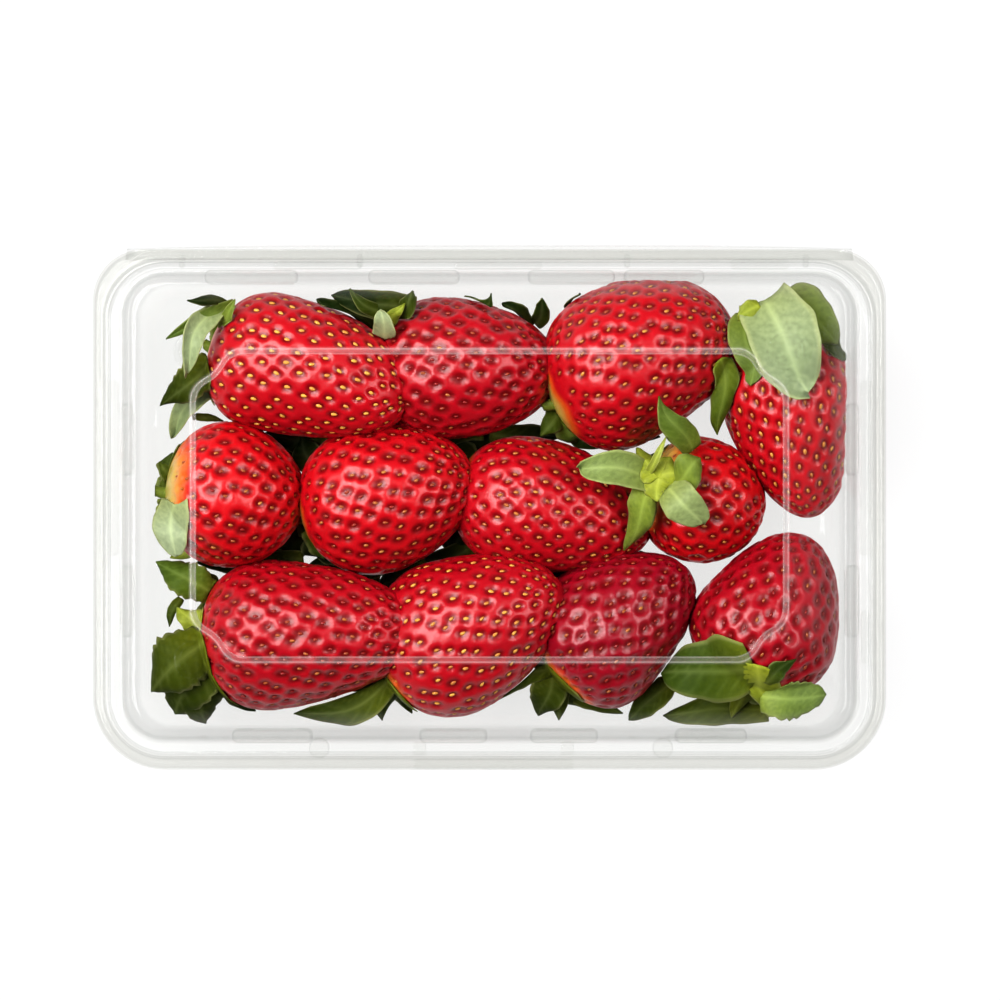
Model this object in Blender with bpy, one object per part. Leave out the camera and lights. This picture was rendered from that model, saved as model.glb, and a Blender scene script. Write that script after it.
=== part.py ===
"""Punnet of strawberries: a clear hinged clamshell with one layer of whole berries.

Millimetres are used for the named sizes below and turned into metres by MM.
+X runs along the long side, +Y towards the hinge, +Z up. The origin is under the
middle of the closed punnet, on the surface that it stands on.
"""
import math

import bmesh
import bpy
from mathutils import Matrix, Vector

MM = 0.001

# Flange, the flat outer edge of both halves.
LENGTH = 186.0
FRONT_EDGE = -61.5
BACK_EDGE = 60.0
CORNER_RADIUS = 17.0
INNER_CORNER_RADIUS = 8.0
SHEET = 0.5                  # thickness of the formed sheet
BACK_SAVING = 2.5            # the rim is this much narrower along the hinge
RIM_WIDTH = 9.0

# Tray: inset from the flange's edge and height of the upper, inner face.
TRAY_FLANGE_HEIGHT = 36.0
BEAD_HEIGHT = 40.3
BEAD_OUTSIDE = 3.4
WALL_TOP = (7.2, 39.5)
WALL_FOOT = (9.0, 6.1)
FLOOR_HEIGHT = 0.5
FOOT_RADIUS = 5.5

# Lid: inset and height of the outer face.
LID_FLANGE_HEIGHT = 37.0
LID_RIM_HEIGHT = 41.4
LID_SKIRT = 2.4
DOME_FOOT = 7.2
DOME_SHOULDER = 8.5
SHOULDER_RADIUS = 2.1
DOME_HEIGHT = 48.3
PANEL_RISE = 1.7
PANEL_STEP = 1.2
PANEL_HALF_LENGTH = 69.0
PANEL_HALF_WIDTH = 35.9
PANEL_MIDDLE_Y = 0.5
NOTCH_RADIUS = 7.5           # hollow corner of the raised panel
NOTCH_EASE = 1.3             # where the hollow runs out into the straight side
STUD_RADIUS = 4.2            # stacking stud in each hollow corner
STUD_RISE = 0.8

# Hinge strip along the back, front tab, snap buttons and side latches.
HINGE_LENGTH = 170.0
HINGE_EDGE = 61.5
STRIP_INNER_EDGE = 57.8
STRIP_MARGIN = 0.05
TAB_ENDS = (-17.5, 19.4)
BUTTONS_X = (-39.8, 40.5)
BUTTON_RADIUS = 2.1
LATCH_ENDS = (-11.0, 29.4)

# Fruit: height it rests at, and the core that joins the heap.
REST_HEIGHT = 1.1
WALL_CLEARANCE = 0.6
BERRY_SIDES = 14
BERRY_RINGS = 9
CORE_SIZE = (122.0, 68.0, 15.0)
CORE_MIDDLE = (1.0, 1.0, 10.6)
SEPALS = 6
SEPAL_REACH = 11.0
SEPAL_WAIST = 5.0
SEPAL_THICKNESS = 1.2
SEPAL_TURN = math.radians(20.0)
SEPAL_SEAT = 2.0             # how far the cap's front stands along the fruit

RING_STEPS = 8               # pieces in each rounded corner


class Berry:
    """One fruit: the middle of its length, its heading from stalk to tip, and its form."""

    def __init__(self, x, y, heading, tilt, length, width, shoulder, taper, fullness, bend):
        self.x = x
        self.y = y
        self.heading = math.radians(heading)
        self.tilt = math.radians(tilt)
        self.length = length
        self.width = width
        self.shoulder = shoulder
        self.taper = taper
        self.fullness = fullness
        self.bend = bend


BERRIES = (
    #     x      y  heading tilt length width shoulder taper fullness bend
    Berry(-42.7, 32.1, -10.0, 8.0, 48.1, 32.5, 0.31, 1.85, 2.1, 1.0),
    Berry(-3.8, 34.2, 0.0, 4.0, 40.7, 32.0, 0.42, 1.80, 2.1, 0.0),
    Berry(36.5, 34.8, 29.0, -2.0, 45.2, 36.5, 0.42, 2.20, 2.2, 0.3),
    Berry(72.4, 19.0, -78.4, -4.0, 43.0, 30.6, 0.38, 1.45, 2.0, 0.3),
    Berry(-60.7, 2.2, -1.0, -3.0, 33.6, 33.5, 0.45, 1.80, 2.0, 0.0),
    Berry(-23.8, 1.6, 11.6, 8.0, 41.1, 32.3, 0.42, 1.80, 2.1, 0.0),
    Berry(13.2, 0.5, -10.6, -3.0, 42.4, 30.5, 0.38, 1.80, 2.1, 0.5),
    Berry(51.6, -0.2, -13.8, -18.0, 30.6, 31.0, 0.45, 1.90, 2.0, 0.0),
    Berry(-43.5, -29.8, 1.0, 8.0, 49.0, 35.1, 0.34, 1.35, 2.2, 0.0),
    Berry(-2.8, -30.8, 9.3, 7.0, 45.0, 36.9, 0.42, 1.70, 2.1, 0.0),
    Berry(33.2, -28.5, 35.0, 5.0, 40.6, 29.9, 0.45, 1.90, 2.2, 0.0),
    Berry(69.2, -24.0, 73.0, -4.0, 38.7, 35.8, 0.38, 1.50, 2.0, 0.0),
)


def clear_scene():
    for item in list(bpy.data.objects):
        bpy.data.objects.remove(item, do_unlink=True)


def make_material(name, colour, roughness, alpha=1.0):
    material = bpy.data.materials.new(name)
    material.use_nodes = True
    shader = material.node_tree.nodes["Principled BSDF"]
    shader.inputs["Base Color"].default_value = (*colour, 1.0)
    shader.inputs["Roughness"].default_value = roughness
    shader.inputs["Metallic"].default_value = 0.0
    shader.inputs["Alpha"].default_value = alpha
    return material


def add_object(name, mesh_data, material=None):
    """Turns a bmesh into an object, with its faces pointing out."""
    bmesh.ops.recalc_face_normals(mesh_data, faces=mesh_data.faces)
    mesh = bpy.data.meshes.new(name)
    mesh_data.to_mesh(mesh)
    mesh_data.free()
    item = bpy.data.objects.new(name, mesh)
    bpy.context.scene.collection.objects.link(item)
    if material:
        mesh.materials.append(material)
    return item


def hide_cutter(item):
    item.hide_render = True
    item.display_type = "WIRE"


# ---------------------------------------------------------------- formed sheet

def rim_box(inset):
    """Sides of the rounded rectangle that lies inset from the flange's edge."""
    saving = BACK_SAVING * min(inset / RIM_WIDTH, 1.0)
    half_length = LENGTH / 2 - inset
    front = FRONT_EDGE + inset
    back = BACK_EDGE - inset + saving
    return half_length, front, back


def rounded_ring(inset, height):
    """Points of one rounded rectangle, counter-clockwise seen from above."""
    half_length, front, back = rim_box(inset)
    radius = max(CORNER_RADIUS - inset, INNER_CORNER_RADIUS)
    corners = (
        (half_length - radius, back - radius, 0.0),
        (-half_length + radius, back - radius, 90.0),
        (-half_length + radius, front + radius, 180.0),
        (half_length - radius, front + radius, 270.0),
    )
    points = []
    for middle_x, middle_y, start in corners:
        for step in range(RING_STEPS + 1):
            angle = math.radians(start + 90.0 * step / RING_STEPS)
            x = middle_x + radius * math.cos(angle)
            y = middle_y + radius * math.sin(angle)
            points.append(Vector((x, y, height)) * MM)
    return points


def panel_ring(grow, height):
    """Raised panel's outline: a rectangle whose corners are hollowed round the studs."""
    half_length = PANEL_HALF_LENGTH + grow
    half_width = PANEL_HALF_WIDTH + grow
    radius = NOTCH_RADIUS - grow
    signs = ((1, 1), (-1, 1), (-1, -1), (1, -1))
    points = []
    for sign_x, sign_y in signs:
        corner = [(half_length, half_width - grow - radius - NOTCH_EASE)]
        for step in range(RING_STEPS - 1):
            part = step / (RING_STEPS - 2)
            angle = math.radians(-98.0 - 74.0 * part)
            x = half_length - grow + radius * math.cos(angle)
            y = half_width - grow + radius * math.sin(angle)
            corner.append((x, y))
        corner.append((half_length - grow - radius - NOTCH_EASE, half_width))
        if sign_x * sign_y < 0:
            corner.reverse()
        for x, y in corner:
            points.append(Vector((x * sign_x, y * sign_y + PANEL_MIDDLE_Y, height)) * MM)
    return points


def loft(rings, cap_last=True):
    """Skins a list of rings with quads, and closes the last one with a flat face."""
    mesh_data = bmesh.new()
    loops = [[mesh_data.verts.new(point) for point in ring] for ring in rings]
    count = len(rings[0])
    for lower, upper in zip(loops, loops[1:]):
        for index in range(count):
            following = (index + 1) % count
            mesh_data.faces.new((lower[index], lower[following], upper[following], upper[index]))
    if cap_last:
        mesh_data.faces.new(loops[-1])
    return mesh_data


def thicken(item, offset):
    solidify = item.modifiers.new("sheet", "SOLIDIFY")
    solidify.thickness = SHEET * MM
    solidify.offset = offset
    solidify.use_even_offset = True
    solidify.use_quality_normals = True


def join_shapes(item, shapes):
    """Adds each shape to the item with a Boolean union."""
    for shape in shapes:
        hide_cutter(shape)
        union = item.modifiers.new(shape.name, "BOOLEAN")
        union.operation = "UNION"
        union.solver = "EXACT"
        union.object = shape


def block(name, low, high):
    """A closed box between two corners."""
    mesh_data = bmesh.new()
    size = [b - a for a, b in zip(low, high)]
    middle = [(a + b) / 2 for a, b in zip(low, high)]
    bmesh.ops.create_cube(mesh_data, size=1.0)
    bmesh.ops.scale(mesh_data, vec=Vector(size) * MM, verts=mesh_data.verts)
    bmesh.ops.translate(mesh_data, vec=Vector(middle) * MM, verts=mesh_data.verts)
    return add_object(name, mesh_data)


def disc(name, middle, radius, height, sides=16):
    """A closed round boss standing on its middle point."""
    mesh_data = bmesh.new()
    bmesh.ops.create_cone(mesh_data, cap_ends=True, segments=sides, radius1=radius * MM,
                          radius2=(radius - 0.3) * MM, depth=height * MM)
    place = Vector((middle[0], middle[1], middle[2] + height / 2)) * MM
    bmesh.ops.translate(mesh_data, vec=place, verts=mesh_data.verts)
    return add_object(name, mesh_data)


def hinge_strip(name, sheet_top):
    """The straight strip along the back, inside the flange's thickness."""
    low = (-HINGE_LENGTH / 2, STRIP_INNER_EDGE, sheet_top - SHEET + STRIP_MARGIN)
    high = (HINGE_LENGTH / 2, HINGE_EDGE, sheet_top - STRIP_MARGIN)
    return block(name, low, high)


def foot_curve(steps=4):
    """Insets and heights of the round between the tray's wall and its floor."""
    points = []
    for step in range(1, steps + 1):
        angle = math.radians(90.0 * step / steps)
        inset = WALL_FOOT[0] + FOOT_RADIUS * (1 - math.cos(angle))
        height = FLOOR_HEIGHT + FOOT_RADIUS * (1 - math.sin(angle))
        points.append((inset, height))
    return points


def make_tray(material):
    profile = [
        (0.3, TRAY_FLANGE_HEIGHT),
        (BEAD_OUTSIDE, TRAY_FLANGE_HEIGHT),
        (BEAD_OUTSIDE + 0.6, BEAD_HEIGHT),
        (WALL_TOP[0] - 0.6, BEAD_HEIGHT),
        WALL_TOP,
        WALL_FOOT,
    ]
    profile += foot_curve()
    tray = add_object("tray", loft([rounded_ring(*point) for point in profile]), material)
    thicken(tray, -1.0)
    join_shapes(tray, [hinge_strip("tray_hinge_strip", TRAY_FLANGE_HEIGHT)])
    return tray


def shoulder_curve(steps=3):
    """Insets and heights of the round between the dome's wall and its top."""
    points = []
    for step in range(steps + 1):
        angle = math.radians(90.0 * step / steps)
        inset = DOME_SHOULDER + SHOULDER_RADIUS * (1 - math.cos(angle))
        height = DOME_HEIGHT - SHOULDER_RADIUS * (1 - math.sin(angle))
        points.append((inset, height))
    return points


def lid_fittings():
    """Studs, snap buttons, side latches and the front tab, each a low closed boss."""
    shapes = [hinge_strip("lid_hinge_strip", LID_FLANGE_HEIGHT)]
    for index, (sign_x, sign_y) in enumerate(((1, 1), (-1, 1), (-1, -1), (1, -1))):
        x = sign_x * PANEL_HALF_LENGTH
        y = sign_y * PANEL_HALF_WIDTH + PANEL_MIDDLE_Y
        base = DOME_HEIGHT - SHEET / 2
        shapes.append(disc(f"stud_{index}", (x, y, base), STUD_RADIUS, SHEET / 2 + STUD_RISE))
    button_y = FRONT_EDGE + DOME_FOOT - 1.0
    for index, x in enumerate(BUTTONS_X):
        middle = (x, button_y, LID_RIM_HEIGHT - SHEET / 2)
        shapes.append(disc(f"button_{index}", middle, BUTTON_RADIUS, 1.6, sides=12))
    for name, side in (("left", -1), ("right", 1)):
        outer = side * (LENGTH / 2 - LID_SKIRT - 1.2)
        inner = side * (LENGTH / 2 - DOME_FOOT + 0.8)
        low = (min(outer, inner), LATCH_ENDS[0], LID_RIM_HEIGHT - SHEET / 2)
        high = (max(outer, inner), LATCH_ENDS[1], LID_RIM_HEIGHT + 0.8)
        shapes.append(block(f"latch_{name}", low, high))
    low = (TAB_ENDS[0], FRONT_EDGE + 0.3, LID_FLANGE_HEIGHT - SHEET / 2)
    high = (TAB_ENDS[1], FRONT_EDGE + LID_SKIRT + 0.3, LID_FLANGE_HEIGHT + 0.9)
    shapes.append(block("front_tab", low, high))
    return shapes


def make_lid(material):
    profile = [
        (0.0, LID_FLANGE_HEIGHT),
        (LID_SKIRT, LID_FLANGE_HEIGHT),
        (LID_SKIRT + 0.6, LID_RIM_HEIGHT),
        (DOME_FOOT, LID_RIM_HEIGHT),
    ]
    profile += shoulder_curve()
    rings = [rounded_ring(*point) for point in profile]
    rings.append(panel_ring(PANEL_STEP / 2, DOME_HEIGHT))
    rings.append(panel_ring(-PANEL_STEP / 2, DOME_HEIGHT + PANEL_RISE))
    lid = add_object("lid", loft(rings), material)
    thicken(lid, -1.0)
    join_shapes(lid, lid_fittings())
    return lid


# ---------------------------------------------------------------- strawberries

def berry_radius(berry, part):
    """Radius of the fruit at a part of its length, 0 at the stalk and 1 at the tip."""
    if part < berry.shoulder:
        away = (berry.shoulder - part) / berry.shoulder
        share = (1.0 - away ** 2.3) ** (1 / 2.1)
    else:
        away = (part - berry.shoulder) / (1.0 - berry.shoulder)
        share = max(1.0 - away ** berry.taper, 0.0) ** (1 / berry.fullness)
    return berry.width / 2 * share


def berry_turn(berry):
    """Turns the fruit's own axis, +X from stalk to tip, to its heading and tilt."""
    return Matrix.Rotation(berry.heading, 3, "Z") @ Matrix.Rotation(-berry.tilt, 3, "Y")


def berry_points(berry):
    """Stalk pole, rings of points and tip pole, in millimetres about the fruit's middle."""
    rings = []
    for ring in range(1, BERRY_RINGS + 1):
        part = 0.5 - 0.5 * math.cos(math.pi * ring / (BERRY_RINGS + 1))
        radius = berry_radius(berry, part)
        along = (part - 0.5) * berry.length
        side = berry.bend * (1.0 - (2.0 * part - 1.0) ** 2)
        points = []
        for step in range(BERRY_SIDES):
            angle = 2 * math.pi * step / BERRY_SIDES
            points.append(Vector((along, side + radius * math.cos(angle), radius * math.sin(angle))))
        rings.append(points)
    stalk = Vector((-berry.length / 2, 0.0, 0.0))
    tip = Vector((berry.length / 2, 0.0, 0.0))
    return stalk, rings, tip


def sepal_points(berry):
    """Rim of the leaf cap behind the fruit's stalk end, front and back.

    Each leaf has four points: the notch beside it, its broad part, its tip and its
    broad part again. The tips lean back, away from the fruit.
    """
    leaf = ((SEPAL_WAIST, 0.8), (0.74 * SEPAL_REACH, 1.7), (SEPAL_REACH, 2.8), (0.74 * SEPAL_REACH, 1.7))
    faces = []
    for shift in (0.0, SEPAL_THICKNESS):
        rim = []
        for step in range(len(leaf) * SEPALS):
            angle = SEPAL_TURN + 2 * math.pi * step / (len(leaf) * SEPALS)
            reach, lean = leaf[step % len(leaf)]
            along = SEPAL_SEAT - berry.length / 2 - lean - shift
            rim.append(Vector((along, reach * math.cos(angle), reach * math.sin(angle))))
        faces.append(rim)
    return faces


def rest_offset(berry):
    """Moves the fruit to its place, with its lowest point just above the tray's floor."""
    turn = berry_turn(berry)
    rings = berry_points(berry)[1]
    lowest = min((turn @ point).z for ring in rings for point in ring)
    return Vector((berry.x, berry.y, REST_HEIGHT - lowest))


def keep_inside(point):
    """Presses a point that would cross the tray's wall or floor against them."""
    height = max(point.z, REST_HEIGHT)
    if height > WALL_FOOT[1]:
        rise = (height - WALL_FOOT[1]) / (WALL_TOP[1] - WALL_FOOT[1])
        inset = WALL_FOOT[0] + (WALL_TOP[0] - WALL_FOOT[0]) * min(rise, 1.0)
    else:
        drop = WALL_FOOT[1] - height
        inset = WALL_FOOT[0] + FOOT_RADIUS - math.sqrt(FOOT_RADIUS ** 2 - drop ** 2)
    half_length, front, back = rim_box(inset + WALL_CLEARANCE)
    x = min(max(point.x, -half_length), half_length)
    y = min(max(point.y, front), back)
    return Vector((x, y, height))


def place(berry, points):
    turn = berry_turn(berry)
    offset = rest_offset(berry)
    return [keep_inside(turn @ point + offset) * MM for point in points]


def add_closed_skin(mesh_data, first, rings, last):
    """A closed body from a pole, rings of points and a second pole."""
    loops = [[mesh_data.verts.new(point) for point in ring] for ring in rings]
    count = len(loops[0])
    start = mesh_data.verts.new(first)
    end = mesh_data.verts.new(last)
    for index in range(count):
        following = (index + 1) % count
        mesh_data.faces.new((start, loops[0][following], loops[0][index]))
        mesh_data.faces.new((end, loops[-1][index], loops[-1][following]))
        for lower, upper in zip(loops, loops[1:]):
            mesh_data.faces.new((lower[index], lower[following], upper[following], upper[index]))


def make_fruit(index, berry):
    stalk, rings, tip = berry_points(berry)
    mesh_data = bmesh.new()
    poles = place(berry, [stalk, tip])
    add_closed_skin(mesh_data, poles[0], [place(berry, ring) for ring in rings], poles[1])
    return add_object(f"fruit_{index}", mesh_data)


def make_sepals(index, berry):
    front, back = sepal_points(berry)
    middle_front = Vector((SEPAL_SEAT - berry.length / 2 - 0.2, 0.0, 0.0))
    middle_back = Vector((-berry.length / 2 - 1.6, 0.0, 0.0))
    mesh_data = bmesh.new()
    poles = place(berry, [middle_back, middle_front])
    rings = [place(berry, back), place(berry, front)]
    add_closed_skin(mesh_data, poles[0], rings, poles[1])
    return add_object(f"sepals_{index}", mesh_data)


def make_strawberries(material):
    """The heap: every fruit and its leaf cap, joined through a low core between them."""
    low = [middle - size / 2 for middle, size in zip(CORE_MIDDLE, CORE_SIZE)]
    high = [middle + size / 2 for middle, size in zip(CORE_MIDDLE, CORE_SIZE)]
    heap = block("strawberries", low, high)
    heap.data.materials.append(material)
    shapes = []
    for index, berry in enumerate(BERRIES, start=1):
        shapes.append(make_fruit(index, berry))
        shapes.append(make_sepals(index, berry))
    join_shapes(heap, shapes)
    return heap


def main():
    clear_scene()
    clear_plastic = make_material("clear_plastic", (0.92, 0.95, 0.94), 0.08, 0.3)
    flesh = make_material("strawberry", (0.62, 0.02, 0.03), 0.3)
    make_tray(clear_plastic)
    make_lid(clear_plastic)
    make_strawberries(flesh)


main()
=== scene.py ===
"""Looks of the punnet of strawberries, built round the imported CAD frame.

Sizes are in millimetres, which MM turns into metres. +X runs along the long side, +Y
towards the hinge and +Z up, from the floor under the middle of the closed punnet. The
forms repeat part.py's sizes.
"""
import math
from collections import namedtuple

import bmesh
import bpy
import numpy as np
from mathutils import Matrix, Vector


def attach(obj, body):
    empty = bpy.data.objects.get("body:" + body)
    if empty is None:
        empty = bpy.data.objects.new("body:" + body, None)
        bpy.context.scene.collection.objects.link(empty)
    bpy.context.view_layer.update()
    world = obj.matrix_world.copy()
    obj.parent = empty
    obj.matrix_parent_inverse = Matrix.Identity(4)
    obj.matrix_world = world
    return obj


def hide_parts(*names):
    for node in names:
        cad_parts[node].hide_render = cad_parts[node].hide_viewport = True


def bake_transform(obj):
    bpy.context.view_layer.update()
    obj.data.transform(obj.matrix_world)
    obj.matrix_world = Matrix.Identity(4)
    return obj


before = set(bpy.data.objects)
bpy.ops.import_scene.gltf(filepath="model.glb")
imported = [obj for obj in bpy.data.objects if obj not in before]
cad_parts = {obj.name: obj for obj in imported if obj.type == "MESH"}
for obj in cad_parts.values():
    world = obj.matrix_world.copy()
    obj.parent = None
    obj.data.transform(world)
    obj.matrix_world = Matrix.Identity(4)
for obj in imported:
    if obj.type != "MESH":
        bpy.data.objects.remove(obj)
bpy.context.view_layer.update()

MM = 0.001
RANDOM_SEED = 7
GOLDEN_ANGLE = math.pi * (3.0 - math.sqrt(5.0))
CORNERS = ((1, 1), (-1, 1), (-1, -1), (1, -1))

# Flange and rim, as in part.py.
LENGTH = 186.0
FRONT_EDGE = -61.5
BACK_EDGE = 60.0
CORNER_RADIUS = 17.0
INNER_CORNER_RADIUS = 8.0
SHEET = 0.5
BACK_SAVING = 2.5
RIM_WIDTH = 9.0

# The flange's back corners stand further out than in part.py, and are tighter.
BACK_FLANGE = 0.6
TIGHTER_BACK = 5.0
FLANGE_FADE = 3.0  # inset at which that has died out
FLANGE_RINGS = 8  # rings of both shells that count as thick flange

# Tray.
TRAY_FLANGE_HEIGHT = 36.0
BEAD_HEIGHT = 40.3
BEAD_OUTSIDE = 3.4
WALL_TOP = (7.2, 39.5)
WALL_FOOT = (9.0, 6.1)
FLOOR_HEIGHT = 0.5
FOOT_RADIUS = 5.5

# Lid.
LID_FLANGE_HEIGHT = 37.0
LID_RIM_HEIGHT = 41.4
LID_SKIRT = 2.4
DOME_FOOT = 7.2
DOME_SHOULDER = 8.5
SHOULDER_RADIUS = 2.1
DOME_HEIGHT = 48.3
BORDER_FALL = 0.5
PANEL_RISE = 1.7
PANEL_STEP = 0.85
PANEL_HALF_LENGTH = 69.0
PANEL_HALF_WIDTH = 35.9
PANEL_MIDDLE_Y = 0.5
NOTCH_RADIUS = 7.5
NOTCH_EASE = 2.6  # length of the eased ends of a notch
STUD_RADIUS = 4.2
STUD_RISE = 0.3
LID_UNDERSIDE = 46.6  # no leaf stands higher than this
SKIRT_HAZE = 0.04
# The whitening at the panel step and its folds is a painted highlight.
STEP_PAINTED_HIGHLIGHT = 0.09
FOLD_PAINTED_HIGHLIGHT = 0.22

# Hinge, tab, buttons and latches.
HINGE_LENGTH = 170.8
HINGE_EDGE = 61.5
HINGE_BEND = 0.55
HINGE_HALF_SHEET = 0.14
HINGE_BOW = 0.8
TAB_ENDS = (-17.5, 19.4)
BUTTONS_X = (-39.8, 40.5)
BUTTON_RADIUS = 2.1
LATCH_ENDS = (-11.0, 29.4)
LUG_FOOT = 33.5
LUG_HEIGHT = 5.2
LUG_DEPTH = 1.9
LUG_ROOT = 0.6  # part of a lug that lies in the wall

# Fruit.
REST_HEIGHT = 1.1
WALL_CLEARANCE = 0.6

BERRY_ROWS = 160
BERRY_COLUMNS = 150
PIT_DEPTH = 0.14  # share of the seeds' spacing
PIT_RADIUS = 0.45  # share of the seeds' spacing
CROWN = 0.06  # swelling between the pits
SEED_SIZE = (0.75, 0.52, 0.40)
SEED_SIDES = 8
SEED_RINGS = 4
LEAF_HALF_SHEET = 0.17
LEAF_CLEARANCE = 0.55
STALK_LENGTH = 4.0

# Points of a shell's ring, along a corner, a long side and a short side.
RING_ARC = 14
RING_LONG = 60
RING_SHORT = 40

# Camera, light and table, in metres but for the lens.
CAMERA_LENS = 209.2
CAMERA_PLACE = (2.46 * MM, 1.76 * MM, 1.4)
LIGHT_TARGET = (0.0, 0.0, 0.03)
FLOOR_HALF_SIZE = 3.0
FLOOR_GAP = 0.0002


# One fruit: the middle of its length, its heading from stalk to tip and its tilt in degrees.
# shoulder is the share of its length at which it is widest, and taper and fullness shape the
# rest up to the tip. spin sets its lumps. pale is the share that is unripe round the stalk,
# most on the side pale_side. tone goes from deep to bright red, partly the fruit's own colour
# and partly painted shade and light: fruit 11 is painted darkest for the shade it lies in, and
# fruit 8 brightest. gold goes from red seeds to yellow.
Berry = namedtuple("Berry", """x y heading tilt length width shoulder taper fullness bend
                   spin pale pale_side tone gold spacing""")

BERRIES = [Berry(*row) for row in (
    (-42.5, 31.4, -14.8, 16, 50.2, 33.2, 0.3, 1.95, 2.3, 1, 0.3, 0.05, 150, 0.62, 1, 4.5),
    (-6, 33, -1, 9, 44.4, 33.8, 0.42, 1.8, 2.1, 0, 1.1, 0.09, 140, 0.45, 0.05, 4.4),
    (36.2, 34.5, 25.5, -2, 47, 38, 0.38, 2.2, 2.2, 1.6, 2, 0.055, 240, 0.64, 0.4, 4.1),
    (72.2, 19.9, -78.4, -4, 45.4, 32, 0.36, 1.4, 2, 0.3, 0.7, 0.04, 90, 0.66, 0.6, 4.1),
    (-60.5, 2.9, -1, -3, 33.2, 34.5, 0.45, 1.8, 2, 0, 1.6, 0.2, 160, 0.92, 0.2, 4.3),
    (-24.2, 2.8, 15, 8, 42.5, 35, 0.42, 1.8, 2.1, 0, 2.6, 0.05, 180, 0.75, 0.25, 4.3),
    (15.2, -0.6, -10.2, -3, 48.2, 32, 0.38, 1.8, 2.1, 0.4, 0.1, 0.06, 120, 0.56, 0.4, 4),
    (51.1, 1.4, -13.8, -18, 29.4, 30.2, 0.45, 1.9, 2, 0, 1.3, 0.28, 110, 1, 0.35, 4.3),
    (-42.4, -29.8, 2.2, 14, 52.8, 36.1, 0.32, 1.38, 2.3, 0, 2.2, 0.06, 200, 0.42, 0.1, 4.2),
    (-3.7, -29.1, 26, 14, 47.6, 37, 0.38, 1.45, 2.2, 0.9, 0.9, 0.1, 215, 0.46, 0.7, 4.3),
    (31.3, -27.5, 39, 5, 40.8, 34, 0.34, 1.6, 2, 1, 1.9, 0.09, 240, 0, 0.1, 4.2),
    (67.2, -24.6, 64, -4, 39.2, 35.6, 0.38, 1.32, 2.1, -0.2, 2.9, 0.1, 270, 0.25, 0.05, 4.4),
)]


# One sepal: its foot and tip, its width, and its look. blunt rounds its tip, lift arches it,
# and roll turns it about its own length in degrees. tone runs from 0, near black, which is
# painted shade for leaves deep in the gaps, through the dark upper side, to 1, the pale
# underside. gold yellows it, and teeth saws its edge.
Leaf = namedtuple("Leaf", "foot tip width blunt lift tone gold roll teeth grid",
                  defaults=(1, 0, 0, 0, 0, (23, 13)))

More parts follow.
